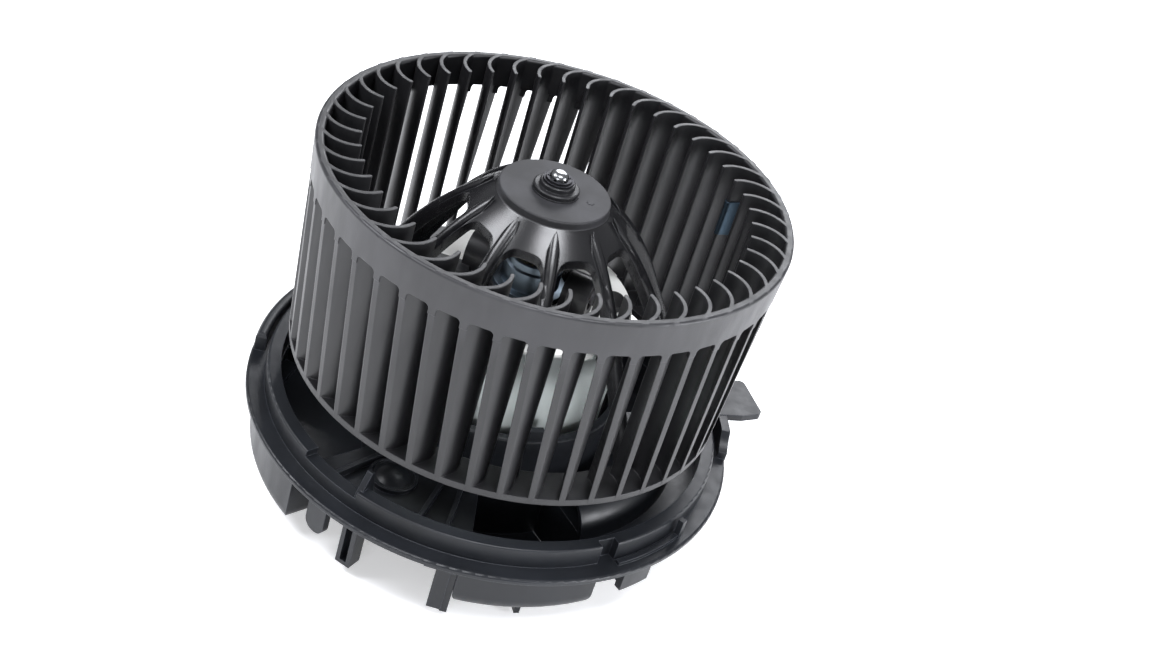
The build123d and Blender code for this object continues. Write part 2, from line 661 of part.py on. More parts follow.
def well(start_deg, end_deg, outer_r, bottom):
    """Deep pocket between the sleeve and the bowl's wall: its outside, and the hollows cut from it."""
    outer = sector(outer_r, SLEEVE_R - 1.2, start_deg, end_deg, bottom, 0.6)
    rim = [edge for edge in outer.edges().group_by(Axis.Z)[0] if edge.center().length > SLEEVE_R + 5]
    outer = fillet(rim, WELL_ROUNDING)
    margin = degrees(WELL_WALL / BOWL_R)
    start, end = start_deg + margin, end_deg - margin
    hollows = [sector(BOWL_R - 0.3, SLEEVE_R - 0.6, start, end, bottom + WELL_WALL, FLOOR_TOP + 2)]
    if outer_r - WELL_WALL > BOWL_R + 1:
        low, high = bottom + WELL_WALL + 1.5, FLOOR_TOP - 3
        hollows.append(sector(outer_r - WELL_WALL, BOWL_R - 5, start, end, low, high))
    return outer, hollows


WELLS = (
    # start, end, outer radius, bottom
    (166, 230, 77.5, -21.9),
    (276, 312, 73.4, -20.5),
    (26, 134, 73.4, WELL_BOTTOM),
)


def flanged_bowl():
    """Flange, spigot and bowl: a stepped disc, hollowed out, with its wells."""
    plate = ring(FLANGE_R, 0, 0, FLANGE_THICKNESS)
    plate = fillet(plate.edges().group_by(Axis.Z)[-1], 0.8)
    wall = ring(SPIGOT_R, 0, 0.7, SPIGOT_TOP)
    wall = fillet(wall.edges().group_by(Axis.Z)[-1], 0.7)
    body = plate + wall + ring(BOWL_R + 1.5, 0, FLOOR_TOP - FLOOR_THICKNESS, 0.9)
    shells = [well(*sizes) for sizes in WELLS]
    for outer, hollows in shells:
        body += outer
    body -= ring(BOWL_R, 0, FLOOR_TOP, SPIGOT_TOP + 1)
    for outer, hollows in shells:
        for hollow in hollows:
            body -= hollow
    return body - ring(SLEEVE_R - 0.9, 0, WELL_BOTTOM - 5, SPIGOT_TOP + 1)


def twist_locks():
    """Cuts in the spigot, as one list, and the stops added to it, as another."""
    cuts = [
        sector(SPIGOT_R + 1, BOWL_R - 1, 231, 248, LEDGE_TOP, SPIGOT_TOP + 1),
        sector(SPIGOT_R + 1, BOWL_R + 1.6, 308.5, 313, FLANGE_THICKNESS, SPIGOT_TOP + 1),
    ]
    stops = []
    for start_deg in (51, 140, 313):
        end_deg = start_deg + 21
        ramp = sector(SPIGOT_R + 2.8, SPIGOT_R + 1.2, start_deg, end_deg, 0.5, FLANGE_THICKNESS + 1.2)
        stops.append(ramp + sector(SPIGOT_R + 3.2, SPIGOT_R + 1.2, end_deg - 1.5, end_deg, 0.5, SPIGOT_TOP))
    return cuts, stops + [twist_stop(248)]


def twist_stop(angle_deg):
    """Upright fin on the inside of the spigot, raked back to a point."""
    fin = make_face(Polyline(
        (BOWL_R - 4.5, 0, -1), (SPIGOT_R - 0.6, 0, -1), (SPIGOT_R - 0.6, 0, LEDGE_TOP + 0.5),
        (BOWL_R - 0.5, 0, SPIGOT_TOP + 5.5), (BOWL_R - 2.0, 0, SPIGOT_TOP + 5.0), close=True))
    return turned(extrude(fin, 1.0, both=True, dir=(0, 1, 0)), angle_deg)


def locator_lug():
    """Rounded lug on the flange beside the spigot."""
    lug = sector(FLANGE_R - 0.6, SPIGOT_R + 1.4, 163, 187, 0.5, 8.2)
    return fillet(lug.edges().group_by(Axis.Z)[-1], 1.6)


def locking_handle():
    """Curved web that rises from the flange and carries a thumb tab."""
    web = sector(FLANGE_R, FLANGE_R - 3.0, 8, 31, 0.5, 9.6)
    web -= Pos(*polar(FLANGE_R - 1.5, 6, 13)) * Rot(0, 0, 6) * Rot(0, 90, 0) * Cylinder(9.0, 12)
    tab = make_face(Polyline(
        polar(FLANGE_R - 2.8, 18), polar(FLANGE_R + 6, 18.5), polar(FLANGE_R + 14, 20),
        polar(FLANGE_R + 13, 31), polar(FLANGE_R - 2.8, 31), close=True))
    tab = Pos(0, 0, 7.4) * extrude(tab, 2.4, dir=(0, 0, 1))
    tips = tab.edges().filter_by(Axis.Z).sort_by(SortBy.DISTANCE)[-2:]
    return web + fillet(tips, 2.0)


def cooling_duct():
    """Arched duct that leads cooling air from the wheel to the motor, with an open mouth over a well."""
    middle_r = 52.6
    half_width = 11.2
    height = 11.5
    wall = 1.6
    mouth_deg = 309
    length_deg = 47

    def arch(inset):
        outline = make_face([
            EllipticalCenterArc((0, 0), half_width - inset, height - inset, arc_size=180),
            Line((-half_width + inset, 0), (half_width - inset, 0)),
        ])
        return Plane.XZ * Pos(middle_r, 0) * outline

    duct = turned(revolve(arch(0), Axis.Z, length_deg), mouth_deg)
    duct -= turned(revolve(arch(wall), Axis.Z, length_deg - 3), mouth_deg - 1)
    return Pos(0, 0, FLOOR_TOP) * duct


def damper_boss():
    """Round pad with a domed centre on the high floor."""
    place = Pos(*polar(52.3, 246, FLOOR_TOP))
    pad = Pos(0, 0, 0.4) * Cylinder(7.8, 1.2)
    lip = Pos(0, 0, 0.9) * (Cylinder(7.8, 1.2) - Cylinder(6.9, 3))
    dome_r = 8.0
    dome = (Pos(0, 0, 3.4 - dome_r) * Sphere(dome_r)) & (Pos(0, 0, 5.2) * Cylinder(6.4, 10))
    return place * (pad + lip + dome)


def sleeve():
    """Tube around the motor, with fingers on its rim and bosses for the cover's screws."""
    tube = ring(SLEEVE_R, SLEEVE_INNER_R, SLEEVE_BOTTOM, SLEEVE_TOP)
    tube = fillet(tube.edges().group_by(Axis.Z)[-1].sort_by(SortBy.RADIUS)[-1], 0.8)
    for angle in (35, 155, 295):
        start, end = angle - 5, angle + 5
        tube += sector(SLEEVE_R - 0.3, SLEEVE_INNER_R + 0.2, start, end, SLEEVE_TOP - 1, SLEEVE_TOP + 4)
    for angle in SCREW_ANGLES:
        boss_height = FLOOR_TOP - 0.5 - SLEEVE_BOTTOM
        tube += post(3.6, boss_height, SCREW_CIRCLE_R, angle, SLEEVE_BOTTOM)
        tube += block(5, 4, boss_height, SLEEVE_R + 0.5, angle, SLEEVE_BOTTOM)
    return tube


def lead_channel():
    """Cut that lets the leads pass from the can to the connector."""
    return block(8, 8, 60, SLEEVE_R - 1, CONNECTOR_ANGLE_DEG, WELL_BOTTOM + WELL_WALL + 0.3)


def floor_ribs():
    """Low radial ribs that stiffen the high floor."""
    ribs = []
    for angle in (236, 262, 270, 150):
        ribs.append(block(BOWL_R - SLEEVE_R, 1.4, 3.0, (BOWL_R + SLEEVE_R) / 2, angle, FLOOR_TOP - 0.5))
    return ribs


def gusset(start_y, end_y, depth, radius, angle_deg):
    """Thin triangular web under the flange, square to the radius."""
    web = make_face(Polyline((0, start_y, 0.5), (0, end_y, 0.5), (0, end_y, -depth), close=True))
    return turned(Pos(radius, 0, 0) * extrude(web, 0.9, both=True, dir=(1, 0, 0)), angle_deg)


def u_leg(angle_deg, bottom):
    """Leg of U section, open outwards, with a web at each side."""
    width, depth, wall = 5.4, 5.5, 1.5
    radius = LEG_R - depth / 2
    leg = block(depth, width, 0.5 - bottom, radius, angle_deg, bottom)
    leg -= block(depth, width - 2 * wall, -bottom - 5, radius + wall, angle_deg, bottom + wall)
    for start_y, depth_z in ((-8.5, 14), (6.0, 7)):
        end_y = (width / 2 - 0.4) * (1 if start_y > 0 else -1)
        leg += gusset(start_y, end_y, depth_z, radius - 1, angle_deg)
    return leg


def underside_brackets():
    """Legs, tabs and brackets under the flange."""
    tab = block(2.4, 8, 18, LEG_R, 237.5, -18)
    tab = fillet(tab.edges().group_by(Axis.Z)[0].filter_by(lambda e: abs(e.length - 2.4) < 0.01), 3.6)
    stepped = block(3, 10, 8, LEG_R - 1, 271.5, -7.5) + block(3, 4.6, 23.5, LEG_R - 1, 272.5, -23)
    stepped += block(7, 2.4, 19, LEG_R - 4, 275.0, -24.5)
    fin = block(8, 1.8, 6, LEG_R - 9, 294.5, LEG_BOTTOM) + block(3, 5, 4, LEG_R - 8, 294.5, -22.8)
    bracket = sector(LEG_R + 4.6, LEG_R + 2.0, 317, 326, -11.5, 0.5)
    bracket += sector(LEG_R + 3.0, LEG_R - 3.0, 317, 318.6, -9.5, 0.5)
    legs = [u_leg(247.5, -23), u_leg(20, LEG_BOTTOM), u_leg(150, LEG_BOTTOM)]
    return [tab, stepped, fin, bracket] + legs


def connector_socket():
    """Opening in the well's wall that takes the connector shell."""
    return block(9.2, 17.2, 12, CONNECTOR_R, CONNECTOR_ANGLE_DEG, WELL_BOTTOM - 4)


def base_housing():
    """The whole holder moulding: flange, bowl, motor sleeve, wells and legs."""
    body = flanged_bowl()
    cuts, stops = twist_locks()
    for cut in cuts:
        body -= cut
    details = stops + [sleeve(), locator_lug(), locking_handle(), damper_boss(), cooling_duct()]
    for detail in details + floor_ribs() + underside_brackets():
        body += detail
    body -= lead_channel()
    body -= connector_socket()
    for angle in SCREW_ANGLES:
        body -= post(1.55, 13, SCREW_CIRCLE_R, angle, SLEEVE_BOTTOM - 1)
    return body


def isolator_pads():
    """Rubber pads between the can and the sleeve."""
    return [
        sector(SLEEVE_INNER_R - FIT_GAP, CAN_R + FIT_GAP, middle - 14, middle + 14, -8, 14)
        for middle in (30, 160, 270)
    ]


def isolator_ring():
    """Rubber ring under the can."""
    gasket = ring(29, 22, SLEEVE_BOTTOM + FIT_GAP, CAN_BOTTOM - FIT_GAP)
    return fillet(gasket.edges(), 0.8)


def rear_cover():
    """Cover that closes the sleeve under the motor, with three screw ears and vent slots."""
    top = SLEEVE_BOTTOM - FIT_GAP
    cover = ring(SLEEVE_R, 0, top - COVER_THICKNESS, top)
    for angle in SCREW_ANGLES:
        cover += post(4.0, COVER_THICKNESS, SCREW_CIRCLE_R, angle, top - COVER_THICKNESS)
    cover += ring(12.5, 0, top - COVER_THICKNESS - 1.2, top)
    cover -= ring(10.5, 0, top - COVER_THICKNESS + 0.6, top + 1)
    for number in range(6):
        cover -= sector(19.0, 16.0, number * 60 + 8, number * 60 + 48, top - 5, top + 1)
    for angle in SCREW_ANGLES:
        cover -= post(1.9, 10, SCREW_CIRCLE_R, angle, top - 8)
    return fillet(cover.edges().group_by(Axis.Z)[0].sort_by(SortBy.RADIUS)[-1], 0.5)


def cover_screws():
    """Three pan-head screws with a cross recess."""
    screws = []
    head_top = SLEEVE_BOTTOM - FIT_GAP - COVER_THICKNESS
    for angle in SCREW_ANGLES:
        head = post(3.1, 1.9, SCREW_CIRCLE_R, angle, head_top - 1.9 - FIT_GAP)
        head = fillet(head.edges().group_by(Axis.Z)[0], 0.9)
        shank = post(1.5, 13.0, SCREW_CIRCLE_R, angle, head_top - FIT_GAP)
        screw = head + shank
        for turn in (0, 90):
            recess = Rot(0, 0, turn) * Box(3.4, 0.7, 1.2)
            screw -= Pos(*polar(SCREW_CIRCLE_R, angle, head_top - 1.9)) * recess
        screws.append(screw)
    return screws


def connector_shell():
    """Two-way connector shell that hangs from the well, open downwards."""
    shell = block(9.0, 17.0, 14, CONNECTOR_R, CONNECTOR_ANGLE_DEG, WELL_BOTTOM - 7)
    shell = fillet(shell.edges().filter_by(Axis.Z), 1.2)
    shell -= block(6.4, 14.4, 11, CONNECTOR_R, CONNECTOR_ANGLE_DEG, WELL_BOTTOM - 8)
    shell += block(12.5, 20.5, 1.4, CONNECTOR_R, CONNECTOR_ANGLE_DEG, WELL_BOTTOM + WELL_WALL + FIT_GAP)
    for offset_y in (-4, 4):
        shell -= connector_place(Box(6.3, 2.1, 60), offset_y)
    return shell


def connector_place(shape, offset_y):
    """Place a shape beside the connector's centre line."""
    return turned(Pos(CONNECTOR_R, offset_y, 0) * shape, CONNECTOR_ANGLE_DEG)


def terminal_blades():
    """Two flat terminals in the connector shell."""
    blade_height = 16.0
    bottom = WELL_BOTTOM - 5.5
    return [
        connector_place(Pos(0, 0, bottom + blade_height / 2) * Box(6.26, 2.06, blade_height), offset_y)
        for offset_y in (-4, 4)
    ]


PARTS = {
    "fan_wheel": fan_wheel,
    "balance_clip": balance_clip,
    "hub_bush": hub_bush,
    "hub_collar": hub_collar,
    "hub_washer": hub_washer,
    "retaining_clip": retaining_clip,
    "motor_shaft": motor_shaft,
    "armature_core": armature_core,
    "armature_winding": armature_winding,
    "commutator_sleeve": commutator_sleeve,
    "commutator_bars": commutator_bars,
    "thrust_washers": thrust_washers,
    "motor_can": motor_can,
    "end_plate": end_plate,
    "field_magnets": field_magnets,
    "magnet_springs": magnet_springs,
    "rear_bearing": rear_bearing,
    "front_bearing": front_bearing,
    "bearing_cup": bearing_cup,
    "bearing_retainer": bearing_retainer,
    "brush_card": brush_card,
    "brush_tube_right": lambda: brush_tube(0),
    "brush_tube_left": lambda: brush_tube(1),
    "carbon_brush_right": lambda: carbon_brush(0),
    "carbon_brush_left": lambda: carbon_brush(1),
    "brush_spring_right": lambda: brush_spring(0),
    "brush_spring_left": lambda: brush_spring(1),
    "choke_cores": choke_cores,
    "choke_windings": choke_windings,
    "suppressor_capacitor": suppressor_capacitor,
    "thermal_fuse": thermal_fuse,
    "lead_red": lambda: lead(CONNECTOR_ANGLE_DEG - 4),
    "lead_black": lambda: lead(CONNECTOR_ANGLE_DEG + 4),
    "base_housing": base_housing,
    "isolator_pads": isolator_pads,
    "isolator_ring": isolator_ring,
    "rear_cover": rear_cover,
    "cover_screws": cover_screws,
    "connector_shell": connector_shell,
    "terminal_blades": terminal_blades,
}

os.makedirs("parts", exist_ok=True)
for node, make in PARTS.items():
    shape = make()
    if isinstance(shape, list):
        shape = Compound(children=shape)
    shape.label = node
    export_step(shape, f"parts/{node}.step")
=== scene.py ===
import json
from math import cos, pi, radians, sin

import bpy
from mathutils import Matrix, Vector


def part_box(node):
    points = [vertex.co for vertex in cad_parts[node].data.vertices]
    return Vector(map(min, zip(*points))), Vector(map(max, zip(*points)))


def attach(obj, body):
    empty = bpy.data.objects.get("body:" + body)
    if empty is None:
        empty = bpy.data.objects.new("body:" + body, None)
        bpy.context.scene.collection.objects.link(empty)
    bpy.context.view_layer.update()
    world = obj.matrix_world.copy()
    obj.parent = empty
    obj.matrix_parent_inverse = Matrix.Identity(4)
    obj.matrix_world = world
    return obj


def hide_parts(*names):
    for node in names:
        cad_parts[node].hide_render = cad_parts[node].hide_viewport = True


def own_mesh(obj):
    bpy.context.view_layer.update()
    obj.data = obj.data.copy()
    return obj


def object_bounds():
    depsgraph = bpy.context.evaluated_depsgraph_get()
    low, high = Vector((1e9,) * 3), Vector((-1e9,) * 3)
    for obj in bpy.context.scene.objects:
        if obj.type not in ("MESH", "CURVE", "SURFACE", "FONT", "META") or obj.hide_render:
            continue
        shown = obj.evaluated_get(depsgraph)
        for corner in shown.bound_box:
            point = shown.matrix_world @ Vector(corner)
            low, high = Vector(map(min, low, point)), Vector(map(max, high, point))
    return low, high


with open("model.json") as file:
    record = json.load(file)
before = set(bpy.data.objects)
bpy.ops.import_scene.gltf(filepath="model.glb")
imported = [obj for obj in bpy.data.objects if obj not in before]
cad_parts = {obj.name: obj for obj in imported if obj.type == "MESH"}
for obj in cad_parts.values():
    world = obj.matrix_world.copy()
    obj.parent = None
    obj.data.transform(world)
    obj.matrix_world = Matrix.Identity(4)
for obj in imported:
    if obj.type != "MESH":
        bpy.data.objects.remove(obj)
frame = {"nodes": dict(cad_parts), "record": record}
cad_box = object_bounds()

# Blower motor and wheel: looks, studio and camera. Metres, in the row's frame: +Z along the shaft.

MM = 0.001
NODES = frame["nodes"]

# ---- the wheel's skin: matt hub disc, polished cone, painted shade inside the rim, which leaves the outer rim paler ----
HUB_DISC_R = 17.8 * MM
CONE_OUTER_R = 52 * MM
RIM_INNER_R = 73.6 * MM
SKIN_STEP = 0.3 * MM        # width over which one zone turns into the next
CONE_FADE = 4 * MM          # the polish fades out over this much more radius
CONE_ROUGHNESS = 0.27
CONE_GRAIN_STRENGTH = 0.12
DISC_ROUGHNESS = 0.62
# painted shade: everything inside the wheel's rim is darkened by this factor
INSIDE_PAINTED_SHADE = 0.5          # shades are factors on a material's own colour
DISC_SHADE = 0.75
DISC_WEAR_SHADE = 1.3

# ---- textures: noise scales are per metre ----
EVEN = (1, 1, 1)
DRAWN_UP = (1, 1, 0.03)         # streaks along the shaft
TURNED_ROUND = (0.15, 0.15, 1)  # streaks round it
BLOOM_SCALE = 34
FLOW_SCALE = 210
GRAIN_STRENGTH = 0.6
BODY_SHADE = 0.85
STREAK_SHADE = 1.15
STAIN_SCALE = 60
SCRATCH_DEPTH = 0.01 * MM
METAL_EDGE_RADIUS = 0.3 * MM
METAL_EDGE_SHADE = 1.15
SPECK_SCALE = 2400
SPECK_DEPTH = 0.05 * MM
SHEET_THICKNESS = 0.5 * MM
SEAM_SHADE = 0.4
SEAM_DEPTH = 0.05 * MM
BEVEL_SAMPLES = 4
EDGE_COSINES = (0.72, 0.995)    # between the rounded and the plain normal: full edge, no edge

# ---- sockets of the mix node, which has one set for values and one for colours ----
VALUE_A, VALUE_B, VALUE_RESULT = 2, 3, 0
COLOUR_A, COLOUR_B, COLOUR_RESULT = 6, 7, 2

# ---- nodes that look different from the rest of their slot ----
# end_plate: a paler, less metallic zinc whose colour is a painted reflection of the bright surroundings
OWN_LOOKS = {"end_plate": "zinc_with_painted_reflection"}

# ---- camera, aimed past the middle of the wheel's top ----
CAMERA_ELEVATION_DEG = 33.9
CAMERA_ROLL_DEG = 17.8
CAMERA_DISTANCE = 529.5 * MM
CAMERA_AIM_LEFT = -4.8 * MM     # the wheel's top centre lies this far left of the picture's middle
CAMERA_AIM_UP = 45.6 * MM       # and this far above it
SENSOR_WIDTH_MM = 36.0
FOCAL_LENGTH_MM = 54.3
CAMERA_NEAR = 10 * MM

# ---- studio ----
FLOOR_SIZE = 6.0
FLOOR_GAP = 0.2 * MM
FLOOR_GLOW = 0.45
FLOOR_MOTTLE_SCALE = 3.0
FLOOR_SHADE = (0.90, 0.90, 0.905)
FLOOR_WHITE = (0.95, 0.95, 0.95)
SKY_STRENGTH = 0.40
SOFTBOXES = {
    # name: (place, aim, width, height, watts)
    "left_high": ((-0.85, -0.20, 1.00), (0, 0, 0.05), 0.55, 0.55, 16.0),
    "overhead": ((0.22, -0.42, 1.15), (0, 0, 0.05), 0.55, 0.35, 14.0),
    "right_low": ((0.98, -0.22, 0.28), (0, 0, 0.03), 0.3, 0.4, 9.0),
    "front_low": ((-0.15, -1.15, 0.38), (0, 0, 0.0), 0.5, 0.25, 4.0),
    "back": ((0.10, 0.95, 0.62), (0, 0, 0.06), 0.7, 0.25, 6.0),
}
COOL_WHITE = (0.94, 0.955, 1.0)


# ---- node helpers ----

def new_material(name):
    """Empty node material: its tree and its main shader."""
    material = bpy.data.materials.new(name)
    material.use_nodes = True
    return material, material.node_tree, material.node_tree.nodes["Principled BSDF"]


def add_node(tree, kind, **inputs):
    """Add a shader node and set its inputs by name, with _ for a space."""
    node = tree.nodes.new("ShaderNode" + kind)
    for name, value in inputs.items():
        node.inputs[name.replace("_", " ")].default_value = value
    return node


def place_texture(tree, stretch):
    """Row-frame coordinates, scaled along each axis."""
    place = add_node(tree, "TexCoord")
    mapping = add_node(tree, "Mapping", Scale=stretch)
    tree.links.new(place.outputs["Object"], mapping.inputs["Vector"])
    return mapping.outputs["Vector"]


def noise(tree, where, scale, detail=4.0, roughness=0.55):
    """Smooth noise, from 0 to 1."""
    node = add_node(tree, "TexNoise", Scale=scale, Detail=detail, Roughness=roughness)
    tree.links.new(where, node.inputs["Vector"])
    return node.outputs["Fac"]


def remap(tree, value, low, high, start=0.3, end=0.7):
    """Value remapped from start..end to low..high."""
    node = add_node(tree, "MapRange", From_Min=start, From_Max=end, To_Min=low, To_Max=high)
    tree.links.new(value, node.inputs["Value"])
    return node.outputs["Result"]


def mix_colour(tree, factor, first, second):
    """Blend of two colours; each is a tuple or a socket."""
    node = tree.nodes.new("ShaderNodeMix")
    node.data_type = "RGBA"
    tree.links.new(factor, node.inputs["Factor"])
    for number, colour in ((COLOUR_A, first), (COLOUR_B, second)):
        socket = node.inputs[number]
        if isinstance(colour, tuple):
            socket.default_value = (*colour, 1.0)
        else:
            tree.links.new(colour, socket)
    return node.outputs[COLOUR_RESULT]


def edge_mask(tree, radius):
    """1 on edges and corners, 0 on plain faces, with the rounded normal that finds them."""
    rounded = add_node(tree, "Bevel", Radius=radius)
    rounded.samples = BEVEL_SAMPLES
    plain = add_node(tree, "NewGeometry")
    across = tree.nodes.new("ShaderNodeVectorMath")
    across.operation = "DOT_PRODUCT"
    tree.links.new(rounded.outputs["Normal"], across.inputs[0])
    tree.links.new(plain.outputs["Normal"], across.inputs[1])
    return remap(tree, across.outputs["Value"], 1.0, 0.0, *EDGE_COSINES), rounded.outputs["Normal"]


def scaled(colour, factor):
    """Colour made lighter or darker."""
    return tuple(min(1.0, channel * factor) for channel in colour)


def axis_distance(tree, where):
    """Distance from the shaft's axis."""
    across = tree.nodes.new("ShaderNodeVectorMath")
    across.operation = "MULTIPLY"
    across.inputs[1].default_value = (1, 1, 0)
    tree.links.new(where, across.inputs[0])
    length = tree.nodes.new("ShaderNodeVectorMath")
    length.operation = "LENGTH"
    tree.links.new(across.outputs["Vector"], length.inputs[0])
    return length.outputs["Value"]


def mix_value(tree, factor, first, second):
    """Blend of a socket's value and a number."""
    node = tree.nodes.new("ShaderNodeMix")
    tree.links.new(factor, node.inputs["Factor"])
    tree.links.new(first, node.inputs[VALUE_A])
    node.inputs[VALUE_B].default_value = second
    return node.outputs[VALUE_RESULT]


# ---- materials ----

def wheel_zones(tree, where):
    """Masks for the wheel's zones: its matt hub disc, its polished cone and everything inside its rim, where
    shade is painted.
    """
    radius = axis_distance(tree, where)
    disc = remap(tree, radius, 1.0, 0.0, HUB_DISC_R, HUB_DISC_R + SKIN_STEP)
    near_cone = remap(tree, radius, 1.0, 0.0, CONE_OUTER_R, CONE_OUTER_R + CONE_FADE)
    cone = tree.nodes.new("ShaderNodeMath")
    cone.operation = "SUBTRACT"
    cone.use_clamp = True
    tree.links.new(near_cone, cone.inputs[0])
    tree.links.new(disc, cone.inputs[1])
    inside = remap(tree, radius, 1.0, 0.0, RIM_INNER_R, RIM_INNER_R + SKIN_STEP)
    return disc, cone.outputs["Value"], inside


def moulded(name, colour, roughness=0.42, grain=0.035 * MM, grain_scale=2600, flow=(1, 1, 0.25),
            edge=1.9, edge_radius=0.45 * MM, bloom=1.5, specular=0.5, zones=None):
    """Moulded plastic: flow marks, a fine eroded grain, a pale bloom in patches, and edges lightened partly
    for wear and partly as a painted highlight.
    """
    material, tree, shader = new_material(name)
    where = place_texture(tree, EVEN)
    clouds = noise(tree, where, BLOOM_SCALE, 5.0)
    flow_lines = noise(tree, place_texture(tree, flow), FLOW_SCALE, 3.0)
    grain_noise = noise(tree, where, grain_scale, 2.0)
    edges, rounded = edge_mask(tree, edge_radius)
    pale = scaled(colour, bloom)
    streak = scaled(colour, bloom * STREAK_SHADE)
    body = mix_colour(tree, remap(tree, clouds, 0.0, 1.0, 0.35, 0.7), scaled(colour, BODY_SHADE), pale)
    body = mix_colour(tree, remap(tree, flow_lines, 0.0, 0.35, 0.45, 0.75), body, streak)
    sheen = remap(tree, flow_lines, roughness + 0.07, roughness - 0.05)
    bump = add_node(tree, "Bump", Strength=GRAIN_STRENGTH, Distance=grain)
    if zones:
        disc, cone, inside = zones(tree, where)
        mottle = remap(tree, clouds, 0.0, 1.0, 0.42, 0.6)
        worn = scaled(colour, bloom * DISC_WEAR_SHADE)
        # painted shade: the wheel inside its rim gets a darker copy of its colour
        body = mix_colour(tree, inside, body, scaled(colour, INSIDE_PAINTED_SHADE))
        body = mix_colour(tree, disc, body, mix_colour(tree, mottle, scaled(colour, DISC_SHADE), worn))
        sheen = mix_value(tree, cone, sheen, CONE_ROUGHNESS)
        sheen = mix_value(tree, disc, sheen, DISC_ROUGHNESS)
        strength = remap(tree, cone, GRAIN_STRENGTH, CONE_GRAIN_STRENGTH, 0.0, 1.0)
        tree.links.new(strength, bump.inputs["Strength"])
    # edges lighter than the body: partly wear, partly a painted highlight
    edge_wear_and_highlight = mix_colour(tree, edges, body, scaled(colour, edge))
    tree.links.new(edge_wear_and_highlight, shader.inputs["Base Color"])
    tree.links.new(sheen, shader.inputs["Roughness"])
    tree.links.new(grain_noise, bump.inputs["Height"])
    tree.links.new(rounded, bump.inputs["Normal"])
    tree.links.new(bump.outputs["Normal"], shader.inputs["Normal"])
    shader.inputs["Specular IOR Level"].default_value = specular
    return material


def metal(name, colour, roughness=0.25, stretch=EVEN, scratch_scale=900, stain=0.75, metallic=1.0):
    """Metal with drawn or turned lines, faint staining and bright edges."""
    material, tree, shader = new_material(name)
    where = place_texture(tree, EVEN)
    lines = noise(tree, place_texture(tree, stretch), scratch_scale, 3.0, 0.7)
    clouds = noise(tree, where, STAIN_SCALE, 4.0)
    edges, rounded = edge_mask(tree, METAL_EDGE_RADIUS)
    body = mix_colour(tree, remap(tree, clouds, 0.0, 1.0, 0.4, 0.7), colour, scaled(colour, stain))
    bright = mix_colour(tree, edges, body, scaled(colour, METAL_EDGE_SHADE))
    tree.links.new(bright, shader.inputs["Base Color"])
    tree.links.new(remap(tree, lines, roughness - 0.06, roughness + 0.12), shader.inputs["Roughness"])
    bump = add_node(tree, "Bump", Strength=0.12, Distance=SCRATCH_DEPTH)
    tree.links.new(lines, bump.inputs["Height"])
    tree.links.new(rounded, bump.inputs["Normal"])
    tree.links.new(bump.outputs["Normal"], shader.inputs["Normal"])
    shader.inputs["Metallic"].default_value = metallic
    return material


def enamelled_wire(name, colour, roughness=0.22):
    """Lacquered copper wire: warm, glossy, darker in patches."""
    material = metal(name, colour, roughness, scratch_scale=400, stain=0.45)
    shader = material.node_tree.nodes["Principled BSDF"]
    shader.inputs["Coat Weight"].default_value = 0.6
    return material


def rubber(name, colour):
    """Matt rubber with a dusty bloom."""
    return moulded(name, colour, roughness=0.72, grain=0.05 * MM, grain_scale=1500, flow=EVEN, bloom=1.9)


def sintered(name, colour, metallic=0.0):
    """Pressed or sintered powder: speckled and matt."""
    material, tree, shader = new_material(name)
    specks = noise(tree, place_texture(tree, EVEN), SPECK_SCALE, 6.0, 0.8)
    contrast = remap(tree, specks, 0, 1, 0.35, 0.65)
    speckled = mix_colour(tree, contrast, scaled(colour, 0.6), scaled(colour, 1.5))
    tree.links.new(speckled, shader.inputs["Base Color"])
    bump = add_node(tree, "Bump", Strength=0.5, Distance=SPECK_DEPTH)
    tree.links.new(specks, bump.inputs["Height"])
    tree.links.new(bump.outputs["Normal"], shader.inputs["Normal"])
    shader.inputs["Roughness"].default_value = 0.62
    shader.inputs["Metallic"].default_value = metallic
    return material


def laminated(name, colour):
    """Stack of thin steel sheets: a dark seam between each pair."""
    material, tree, shader = new_material(name)
    bands = add_node(tree, "TexWave", Scale=pi / (10 * SHEET_THICKNESS) / 2)
    bands.bands_direction = "Z"
    tree.links.new(place_texture(tree, EVEN), bands.inputs["Vector"])
    striped = mix_colour(tree, bands.outputs["Fac"], scaled(colour, SEAM_SHADE), colour)
    tree.links.new(striped, shader.inputs["Base Color"])
    bump = add_node(tree, "Bump", Strength=0.5, Distance=SEAM_DEPTH)
    tree.links.new(bands.outputs["Fac"], bump.inputs["Height"])
    tree.links.new(bump.outputs["Normal"], shader.inputs["Normal"])
    shader.inputs["Metallic"].default_value = 1.0
    shader.inputs["Roughness"].default_value = 0.4
    return material


def floor_material():
    """Plain pale backlit paper, faintly mottled: it glows a little, so that only soft shadows show on it."""
    material, tree, shader = new_material("pale_floor")
    clouds = noise(tree, place_texture(tree, EVEN), FLOOR_MOTTLE_SCALE)
    paper = mix_colour(tree, clouds, FLOOR_SHADE, FLOOR_WHITE)
    tree.links.new(paper, shader.inputs["Base Color"])
    tree.links.new(paper, shader.inputs["Emission Color"])
    shader.inputs["Emission Strength"].default_value = FLOOR_GLOW
    shader.inputs["Roughness"].default_value = 0.9
    return material


